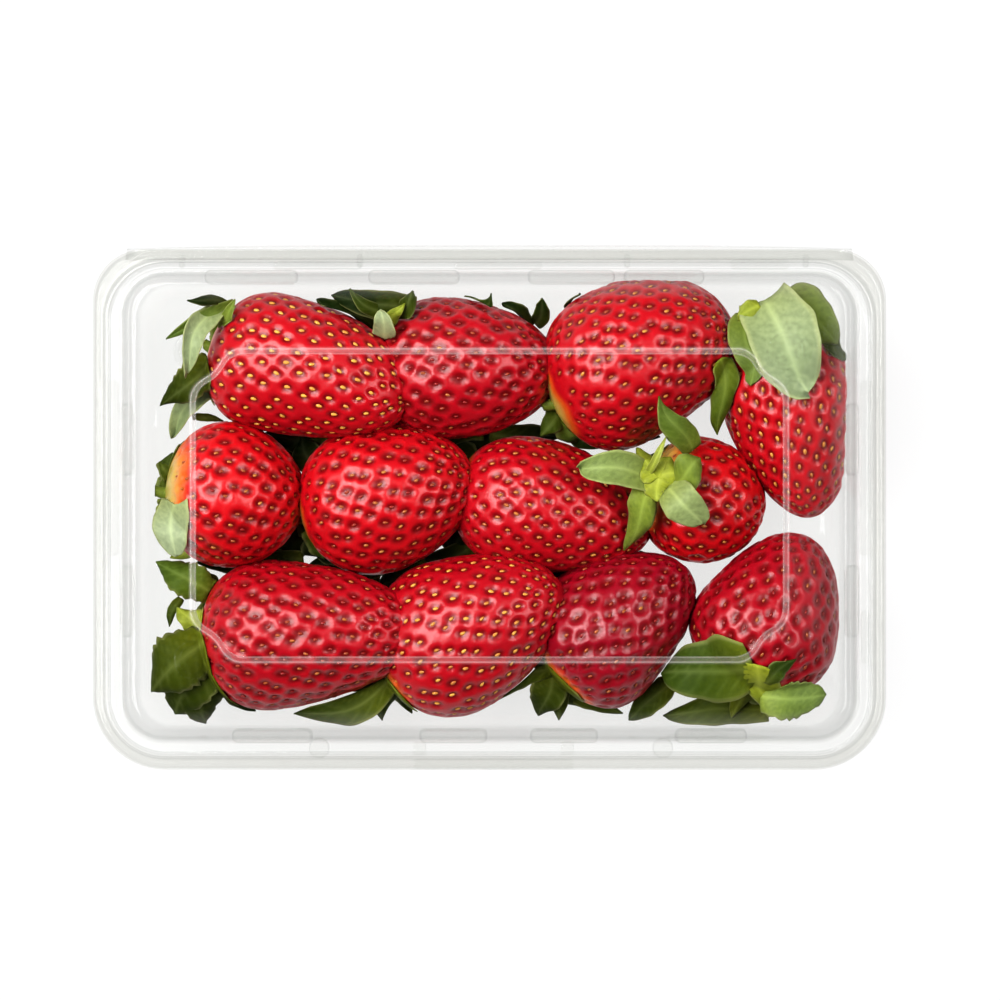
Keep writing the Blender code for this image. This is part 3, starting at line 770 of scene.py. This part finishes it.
def lift_off(points, clearance):
    """Moves points that lie in a fruit out to above its skin."""
    for berry, offset in zip(BERRIES, OFFSETS):
        own = (points - offset) @ berry_turn(berry)
        part = own[:, 0] / berry.length + 0.5
        inside = (part > 0.0) & (part < 1.0)
        side = berry.bend * (1.0 - (2.0 * part - 1.0) ** 2)
        middle = np.stack((side, 0 * side), 1)
        radial = own[:, 1:] - middle
        reach = np.linalg.norm(radial, axis=1)
        skin = berry_radius(berry, np.clip(part, 0.001, 0.999)) + clearance
        move = inside & (reach < skin)
        factor = np.where(move, skin / np.maximum(reach, 0.5), 1.0)
        own[:, 1:] = middle + radial * factor[:, None]
        points = np.where(move[:, None], own @ berry_turn(berry).T + offset, points)
    return points


def leaf_mesh(leaf, rng):
    """Points, faces and looks of one thin closed leaf."""
    rows, columns = leaf.grid
    s = np.linspace(0.0, 1.0, rows)[:, None]
    v = np.linspace(-1.0, 1.0, columns)[None, :]
    foot, tip = np.array(leaf.foot, float), np.array(leaf.tip, float)
    rise = np.array((0.0, 0.0, 1.0))
    length = np.linalg.norm(tip - foot)
    bend = rng.normal(0, 0.05) * length
    aside = unit(np.cross(rise, unit(tip - foot)))
    control = (foot + tip) / 2 + rise * leaf.lift * 2 + aside * bend
    spine = (foot * (1 - s) ** 2 + control * 2 * s * (1 - s) + tip * s ** 2)
    tangent = unit(np.gradient(spine, axis=0))
    side = unit(np.cross(rise, tangent))
    up = np.cross(tangent, side)
    turn = math.radians(leaf.roll) + rng.normal(0, 0.10)
    c, s_turn = math.cos(turn), math.sin(turn)
    side, up = side * c + up * s_turn, up * c - side * s_turn
    power = 0.95 - 0.62 * leaf.blunt
    swell = np.sin(math.pi * (0.17 + 0.83 * s) ** (0.80 + 0.25 * leaf.blunt))
    half = leaf.width / 2 * swell ** power
    calm = min(max(1.5 - 1.3 * leaf.blunt, 0.35), 1.0)
    ragged = 0.0
    for count, amount in ((5.0, 0.07), (11.0, 0.045), (23.0, 0.03)):
        for hand in (-1.0, 1.0):
            ragged = ragged + (v * hand > 0) * amount * np.sin(count * s + rng.uniform(0, 6.28))
    half = half * (1.0 + calm * ragged * np.abs(v) ** 2)
    if leaf.teeth:
        saw = np.abs((s * 6.5 + 0.3) % 1.0 - 0.25)
        half = half * (1.0 - 0.20 * saw * np.abs(v) ** 3)
    wave, waver = rng.uniform(0, 6.28, 2)
    ripple = 0.085 * calm * leaf.width * np.abs(v) ** 1.6
    ripple = ripple * np.sin(9.5 * s + wave + 2.2 * np.sign(v))
    ripple = ripple + 0.05 * leaf.width * v * np.sin(4.0 * s + waver)
    cup = (0.13 + rng.normal(0, 0.06)) * leaf.width * v ** 2
    curl = rng.normal(0, 0.10) * leaf.width * smooth_step(0.55, 1.0, s) ** 2
    vein = vein_mask(s, v, leaf.width)
    height = ripple - cup * (1 - 2 * (leaf.tone > 0.7)) * 0.8 - 0.16 * vein + curl
    sway = rng.normal(0, 0.05) * length * np.sin(5.0 * s + wave)
    across = half * v + sway
    middle = spine[:, None, :] + side[:, None, :] * across[..., None]
    middle = middle + up[:, None, :] * height[..., None]
    flat = keep_inside(lift_off(middle.reshape(-1, 3), LEAF_CLEARANCE))
    flat[:, 2] = np.minimum(flat[:, 2], LID_UNDERSIDE)
    middle = flat.reshape(rows, columns, 3)
    normal = unit(np.cross(np.gradient(middle, axis=0), np.gradient(middle, axis=1)))
    upper = normal[..., 2].sum() < 0
    normal = -normal if upper else normal
    thick = LEAF_HALF_SHEET * (1.0 - 0.6 * np.abs(v) ** 6)[..., None]
    top, bottom = middle + normal * thick, middle - normal * thick
    points = np.concatenate((top.reshape(-1, 3), bottom.reshape(-1, 3)))
    count = rows * columns
    faces = grid_faces(rows, columns, closed=False)
    faces += [face[::-1] for face in grid_faces(rows, columns, closed=False, start=count)]
    index = np.arange(count).reshape(rows, columns)
    rim = np.concatenate((index[0], index[1:, -1], index[-1, -2::-1], index[-2:0:-1, 0])).tolist()
    for here, following in zip(rim, rim[1:] + rim[:1]):
        faces.append((following, here, count + here, count + following))
    if upper:
        faces = [face[::-1] for face in faces]
    edge = np.broadcast_to(np.abs(v) ** 14, (rows, columns)).ravel()
    looks = {
        "tone": np.full(2 * count, leaf.tone),
        "gold": np.clip(np.tile((leaf.gold + 0.35 * (1 - s) ** 3 + 0 * v).ravel(), 2), 0, 1),
        "vein": np.tile(np.broadcast_to(vein, (rows, columns)).ravel(), 2),
        "edge": np.tile(edge, 2),
    }
    return points, faces, looks


def vein_mask(s, v, width):
    """A midrib, and side veins that slant forward from it."""
    rib = np.exp(-(v * width / 2 / 0.55) ** 2)
    along = (s * 7.0 - np.abs(v) * 1.5) % 1.0
    branch = np.exp(-((along - 0.5) / 0.13) ** 2) * (1.0 - np.abs(v)) ** 0.5 * 0.6
    return np.maximum(rib, branch)


def hidden_leaves(berry, offset, rng):
    """Short sepals on the side of the fruit's cap that faces down."""
    turn = berry_turn(berry)
    leaves = []
    for angle in (205, 240, 270, 300, 335):
        around = math.radians(angle + rng.normal(0, 6))
        out = np.array((0.0, math.cos(around), math.sin(around)))
        foot = np.array((-berry.length / 2 + 0.6, 0, 0)) + out * 3.0
        reach = berry.width * (0.30 + 0.08 * rng.random())
        tip = np.array((-berry.length / 2 + 3.0 * rng.random() - 1.0, 0, 0)) + out * reach
        foot, tip = foot @ turn.T + offset, tip @ turn.T + offset
        tone = rng.uniform(0.1, 0.45)
        leaves.append(Leaf(foot, tip, 6.5, 0.35, 0.6, tone, 0.1, grid=(12, 7)))
    return leaves


def stalk_mesh(berry, offset, sides=12, steps=7):
    """The short cut stalk at the middle of the cap, bent and slightly flared."""
    turn = berry_turn(berry)
    rings = []
    for t in np.linspace(0.0, 1.0, steps):
        radius = 1.25 + 3.4 * max(1 - 3.2 * t, 0.0) ** 1.5 + 0.5 * (1 - t)
        angle = 2 * math.pi * np.arange(sides) / sides
        x = np.full(sides, -berry.length / 2 + 1.5 - STALK_LENGTH * t)
        y = radius * np.cos(angle) + 0.8 * t * t
        rings.append(np.stack((x, y, radius * np.sin(angle)), 1))
    points = keep_inside(np.concatenate(rings) @ turn.T + offset)
    faces = grid_faces(steps, sides)
    faces.append(tuple(range(sides)))
    faces.append(tuple(range(steps * sides - 1, (steps - 1) * sides - 1, -1)))
    looks = {key: np.full(len(points), value)
             for key, value in (("tone", 0.55), ("gold", 0.45), ("vein", 0.0), ("edge", 0.0))}
    return points, faces, looks


def make_calyxes(material, rng):
    """Leaves and stalk of each fruit's cap, joined to one piece per fruit."""
    groups = [[] for _ in BERRIES]
    for leaf in LEAVES:
        away = [np.linalg.norm(leaf.foot - (offset + berry_turn(berry) @ (-berry.length / 2, 0, 0)))
                for berry, offset in zip(BERRIES, OFFSETS)]
        groups[int(np.argmin(away))].append(leaf_mesh(leaf, rng))
    for index, (berry, offset) in enumerate(zip(BERRIES, OFFSETS)):
        parts = groups[index]
        parts += [leaf_mesh(leaf, rng) for leaf in hidden_leaves(berry, offset, rng)]
        parts.append(stalk_mesh(berry, offset))
        points, faces = join_parts(part[:2] for part in parts)
        looks = {key: np.concatenate([part[2][key] for part in parts]) for key in parts[0][2]}
        piece = add_piece(f"calyx_{index + 1:02d}", points, faces, material,
                          "tray", "strawberry", looks)
        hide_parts("strawberries")


# ---- formed sheet

def rounded_ring(inset, height):
    """Points of one rounded rectangle, counter-clockwise seen from above."""
    half_length, front, back = rim_box(inset)
    radius = max(CORNER_RADIUS - inset, INNER_CORNER_RADIUS)
    tight = radius - TIGHTER_BACK * float(flange_part(inset))
    corners = (
        (half_length - tight, back - tight, 0.0, tight),
        (-half_length + tight, back - tight, 90.0, tight),
        (-half_length + radius, front + radius, 180.0, radius),
        (half_length - radius, front + radius, 270.0, radius),
    )
    arcs = []
    for middle_x, middle_y, start, radius in corners:
        angles = np.radians(start + 90.0 * np.arange(RING_ARC + 1) / RING_ARC)
        x, y = middle_x + radius * np.cos(angles), middle_y + radius * np.sin(angles)
        arcs.append(np.stack((x, y), 1))
    return close_ring(arcs, height)


def close_ring(arcs, height):
    """Joins four corner arcs by straight sides of evenly spaced points."""
    points = []
    for index, arc in enumerate(arcs):
        following = arcs[(index + 1) % 4]
        count = (RING_LONG, RING_SHORT)[index % 2]
        part = (np.arange(1, count) / count)[:, None]
        points += [arc, arc[-1] * (1 - part) + following[0] * part]
    flat = np.concatenate(points)
    return np.column_stack((flat, np.full(len(flat), height)))


def spaced(line, count):
    """count points evenly spaced along a polyline in the plane."""
    run = running(np.linalg.norm(np.diff(line, axis=0), axis=1))
    at = np.linspace(0, run[-1], count)
    return np.stack([np.interp(at, run, line[:, k]) for k in (0, 1)], 1)


def panel_ring(grow, height):
    """Raised panel's outline, its corners hollowed round the studs with eased ends."""
    half_length = PANEL_HALF_LENGTH + grow
    half_width = PANEL_HALF_WIDTH + grow
    radius = NOTCH_RADIUS - grow
    cut = grow + radius + NOTCH_EASE
    arcs = []
    for sign_x, sign_y in CORNERS:
        first = np.array((half_length, half_width - cut))
        last = np.array((half_length - cut, half_width))
        middle = np.array((half_length - grow, half_width - grow))
        angles = np.radians(-104.0 - 62.0 * np.linspace(0, 1, 9))
        curve = middle + radius * np.stack((np.cos(angles), np.sin(angles)), 1)
        control = np.concatenate(([first + (0, -1.2), first], curve, [last, last + (-1.2, 0)]))
        dense = spaced(control, 81)
        for _ in range(60):
            dense[1:-1] = (dense[:-2] + 2 * dense[1:-1] + dense[2:]) / 4
        corner = spaced(dense, RING_ARC + 1)
        corner = corner * (sign_x, sign_y) + (0, PANEL_MIDDLE_Y)
        if sign_x * sign_y < 0:
            corner = corner[::-1]
        arcs.append(corner)
    return close_ring(arcs, height)


def soften(profile, radius, steps=4):
    """Rounds the corners of a polyline of (inset, height), with a row close to each round."""
    profile = [np.array(point, float) for point in profile]
    out = [profile[0]]
    for before, here, after in zip(profile, profile[1:], profile[2:]):
        one, two = before - here, after - here
        cut = min(radius, 0.40 * np.linalg.norm(one), 0.40 * np.linalg.norm(two))
        one, two = one / np.linalg.norm(one), two / np.linalg.norm(two)
        a, b = here + one * cut, here + two * cut
        out.append(a + one * 0.1 * cut)
        for step in range(steps + 1):
            t = step / steps
            out.append(a * (1 - t) ** 2 + here * 2 * t * (1 - t) + b * t ** 2)
        out.append(b + two * 0.1 * cut)
    out.append(profile[-1])
    return out


def quarter(inset, height, radius, side, steps):
    """A quarter round up to a height, from below (side -1) or from above (side 1)."""
    points = []
    for step in range(1, steps + 1):
        angle = math.radians(90.0 * step / steps)
        points.append((inset + radius * (1 - math.cos(angle)),
                       height + side * radius * (1 - math.sin(angle))))
    return points


def shell_piece(name, rings, material, body, haze_and_highlight):
    """A closed thin sheet: the outer rings, and the same rings SHEET lower.

    The piece replaces the CAD node that has its body's name.
    """
    grid = np.stack(rings)
    rows, columns = grid.shape[:2]
    normal = ring_normals(grid)
    if normal[-1, :, 2].mean() < 0:
        normal = -normal
    normal[-1] = (0, 0, 1)
    points, faces = ring_stack(np.concatenate(((grid - normal * SHEET)[::-1], grid)))

    looks = {}
    for key, values in (("haze_and_highlight", haze_and_highlight), ("thick", np.arange(rows) < FLANGE_RINGS)):
        both_sides = np.concatenate((values[::-1], values))
        looks[key] = np.concatenate((np.repeat(both_sides, columns), (0.0, 0.0)))
    piece = add_piece(name, points, faces, material, body, "clear_plastic", looks)
    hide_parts(body)


def make_tray(material):
    profile = [
        (0.3, TRAY_FLANGE_HEIGHT),
        (BEAD_OUTSIDE, TRAY_FLANGE_HEIGHT),
        (BEAD_OUTSIDE + 0.6, BEAD_HEIGHT),
        (WALL_TOP[0] - 0.6, BEAD_HEIGHT),
        (WALL_TOP[0] + 0.1, WALL_TOP[1] - 1.0),
        WALL_FOOT,
    ]
    profile = soften(profile, 0.7) + quarter(WALL_FOOT[0], FLOOR_HEIGHT, FOOT_RADIUS, 1, 8)
    rings = [rounded_ring(*point) for point in profile]
    shell_piece("tray_shell", rings, material, "tray", np.zeros(len(rings)))


def make_lid(material):
    profile = [
        (0.0, LID_FLANGE_HEIGHT),
        (LID_SKIRT, LID_FLANGE_HEIGHT),
        (LID_SKIRT + 0.6, LID_RIM_HEIGHT),
        (DOME_FOOT, LID_RIM_HEIGHT),
        (DOME_SHOULDER, DOME_HEIGHT - SHOULDER_RADIUS),
    ]
    edge = DOME_HEIGHT - BORDER_FALL
    profile = soften(profile, 0.6) + quarter(DOME_SHOULDER, edge, SHOULDER_RADIUS, -1, 6)
    rings = [rounded_ring(*point) for point in profile]
    shoulder, foot = rings[-1], panel_ring(PANEL_STEP / 2 + 0.5, DOME_HEIGHT)
    rings += [shoulder * (1 - part) + foot * part for part in (0.02, 0.25, 0.5, 0.75, 0.98)]
    rings.append(foot)
    top = DOME_HEIGHT + PANEL_RISE
    step = soften([(PANEL_STEP / 2 + 0.5, DOME_HEIGHT), (PANEL_STEP / 2, DOME_HEIGHT),
                   (-PANEL_STEP / 2, top), (-PANEL_STEP / 2 - 0.5, top)], 0.32, 5)
    haze_and_highlight = [SKIRT_HAZE] * 30 + [0.0] * (len(rings) - 31)
    haze_and_highlight += [0.03] + [STEP_PAINTED_HIGHLIGHT] * (len(step) - 2) + [0.0]
    # Painted highlight: the plastic is painted whitest where the step's two folds are tightest,
    # where the lights are mirrored.
    haze_and_highlight[-3] = haze_and_highlight[-4] = haze_and_highlight[-len(step) + 2] = haze_and_highlight[-len(step) + 3] = FOLD_PAINTED_HIGHLIGHT
    rings += [panel_ring(*point) for point in step[1:]]
    shell_piece("lid_shell", rings, material, "lid", haze_and_highlight)


def pad(x_range, y_range, z, height, radius, slope=0.30):
    """A low raised pad with a rounded plan and sloping sides."""
    rings = []
    for grow, rise in ((slope, -0.15), (slope, 0.0), (slope * 0.45, height * 0.55),
                       (slope * 0.12, height * 0.92), (-slope * 0.3, height), (-slope, height),
                       (-slope * 1.6, height)):
        half = [(high - low) / 2 + grow for low, high in (x_range, y_range)]
        bend = min(radius + grow, half[0], half[1]) * 0.999
        corner = np.radians(90.0 * np.arange(9) / 8)
        ring = []
        for turn, (sx, sy) in enumerate(CORNERS):
            angles = corner + turn * math.pi / 2
            ring.append(np.stack((sx * (half[0] - bend) + bend * np.cos(angles),
                                  sy * (half[1] - bend) + bend * np.sin(angles)), 1))
        flat = np.concatenate(ring) + (sum(x_range) / 2, sum(y_range) / 2)
        rings.append(np.column_stack((flat, np.full(len(flat), z + rise))))
    return ring_stack(rings)


def round_pad(x, y, z, radius, height):
    return pad((x - radius, x + radius), (y - radius, y + radius), z, height, radius)


def make_lid_marks(material):
    """Studs, snap buttons, latch blocks, tab and stiffening pads on the lid."""
    rim = LID_RIM_HEIGHT
    parts = []
    for sign_x in (1, -1):
        for sign_y in (1, -1):
            x, y = sign_x * PANEL_HALF_LENGTH, sign_y * PANEL_HALF_WIDTH + PANEL_MIDDLE_Y
            parts.append(round_pad(x, y, DOME_HEIGHT - 0.1, STUD_RADIUS, STUD_RISE))
            top = DOME_HEIGHT + STUD_RISE - 0.15
            parts.append(round_pad(x, y, top, STUD_RADIUS * 0.75, 0.25))
    button_y = FRONT_EDGE + DOME_FOOT - 1.9
    parts += [round_pad(x, button_y, rim, BUTTON_RADIUS, 1.3) for x in BUTTONS_X]
    for side in (-1, 1):
        outer = side * (LENGTH / 2 - LID_SKIRT - 1.2)
        inner = side * (LENGTH / 2 - DOME_FOOT + 1.2)
        parts.append(pad(sorted((outer, inner)), LATCH_ENDS, rim, 0.6, 0.8))
    tab_depth = (FRONT_EDGE + 0.4, FRONT_EDGE + LID_SKIRT - 0.2)
    parts.append(pad(TAB_ENDS, tab_depth, LID_FLANGE_HEIGHT, 0.6, 0.5))
    front = FRONT_EDGE + LID_SKIRT + 1.5
    for x_range in ((TAB_ENDS[0], TAB_ENDS[0] + 2.4), (TAB_ENDS[1] - 2.4, TAB_ENDS[1])):
        parts.append(pad(x_range, (front, front + 2.6), rim, 0.5, 0.4))
    back = BACK_EDGE - DOME_FOOT + BACK_SAVING
    for x_range, depth in (((-50.2, -30.3), 1.4), ((56.7, 69.6), 1.9), ((-8.0, 12.0), 1.2)):
        parts.append(pad(x_range, (back + 0.6, back + 0.6 + depth), rim, 0.5, 0.6))
    back = BACK_EDGE - LID_SKIRT
    for x in (-30.3, 32.2, -72.0, 74.0):
        parts.append(pad((x - 0.35, x + 0.35), (back - 1.2, back + 1.4), rim - 1.6, 1.7, 0.3))
    parts.append(pad((LENGTH / 2 - 5.9, LENGTH / 2 - 4.6), (-36.1, -24.4), rim, 0.5, 0.6))
    marks = add_piece("lid_marks", *join_parts(parts), material, "lid", "clear_plastic", crisp=20.0)
    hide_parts("lid")


def make_lugs(material):
    """The small ledges inside the tray's walls that keep nested trays apart."""
    parts = []

    def lug(x_range, y_range):
        parts.append(pad(x_range, y_range, LUG_FOOT, LUG_HEIGHT, 1.0, 0.5))

    wall = BACK_EDGE - WALL_TOP[0] + BACK_SAVING * 0.8
    for x_range in ((-66.5, -45.5), (-28.0, -7.5), (9.5, 29.0), (32.0, 50.0)):
        lug(x_range, (wall - LUG_DEPTH, wall + LUG_ROOT))
    wall = FRONT_EDGE + WALL_TOP[0]
    for x_range in ((-60.0, -42.0), (-16.0, -1.0), (10.0, 25.0), (44.0, 60.0)):
        lug(x_range, (wall - LUG_ROOT, wall + LUG_DEPTH))
    wall = LENGTH / 2 - WALL_TOP[0]
    for y_range in ((-30.0, -14.0), (8.0, 24.0)):
        lug((-wall - LUG_ROOT, -wall + LUG_DEPTH), y_range)
        lug((wall - LUG_DEPTH, wall + LUG_ROOT), y_range)
    lugs = add_piece("tray_lugs", *join_parts(parts), material, "tray", "clear_plastic", crisp=20.0)
    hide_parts("tray")


def make_hinge(material):
    """The moulded hinge: a sheet folded back on itself behind the two flanges."""
    middle = (TRAY_FLANGE_HEIGHT + LID_FLANGE_HEIGHT - SHEET) / 2
    bend = HINGE_BEND
    foot, turn_y = BACK_EDGE - 2.0, HINGE_EDGE - bend
    path = [(foot, middle - bend), (turn_y, middle - bend)]
    for step in range(1, 12):
        angle = math.radians(-90.0 + 15.0 * step)
        path.append((turn_y + bend * math.cos(angle), middle + bend * math.sin(angle)))
    path += [(turn_y, middle + bend), (foot, middle + bend)]
    path = np.array(path)
    tangent = unit(np.gradient(path, axis=0))
    aside = np.stack((tangent[:, 1], -tangent[:, 0]), 1) * HINGE_HALF_SHEET
    loop = np.concatenate((path + aside, (path - aside)[::-1]))
    rings = []
    for x in np.linspace(-HINGE_LENGTH / 2, HINGE_LENGTH / 2, 41):
        out = (loop[:, 0] - foot) / (HINGE_EDGE - foot)
        bow = HINGE_BOW * (2 * x / HINGE_LENGTH) ** 4 * out
        rings.append(np.column_stack((x * (1.0 - 0.004 * out), loop[:, 0] - bow, loop[:, 1])))
    count = len(loop)
    points = np.concatenate(rings)
    faces = grid_faces(len(rings), count)
    half = count // 2
    for start, flip in ((0, False), (count * (len(rings) - 1), True)):
        for k in range(half - 1):
            face = (start + k, start + k + 1, start + count - 2 - k, start + count - 1 - k)
            faces.append(face[::-1] if flip else face)
    piece = add_piece("hinge", points, faces, material, None, "clear_plastic")
    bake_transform(piece)


def main():
    scene = bpy.context.scene
    scene.view_settings.view_transform = "Standard"
    scene.view_settings.gamma = 0.80
    scene.cycles.transparent_max_bounces = 32
    scene.cycles.max_bounces = 8
    rng = np.random.default_rng(RANDOM_SEED)
    make_camera()
    make_world()
    softbox("left_box", (-0.68, 0.28, 1.10), (1.25, 0.92), 45.0)
    softbox("right_box", (0.82, 0.14, 1.05), (1.10, 0.50), 16.0)
    softbox("haze_panel", (0.29, 0.05, 1.32), (0.9, 0.15), 0.80)
    make_floor()
    plastic, skin = make_plastic(), make_skin()
    make_tray(plastic)
    make_lugs(plastic)
    make_lid(plastic)
    make_lid_marks(plastic)
    make_hinge(plastic)
    seeds = [make_berry(index, berry, skin, rng) for index, berry in enumerate(BERRIES, 1)]
    make_seeds(seeds, make_seed(), rng)
    make_calyxes(make_leaf(), rng)


main()
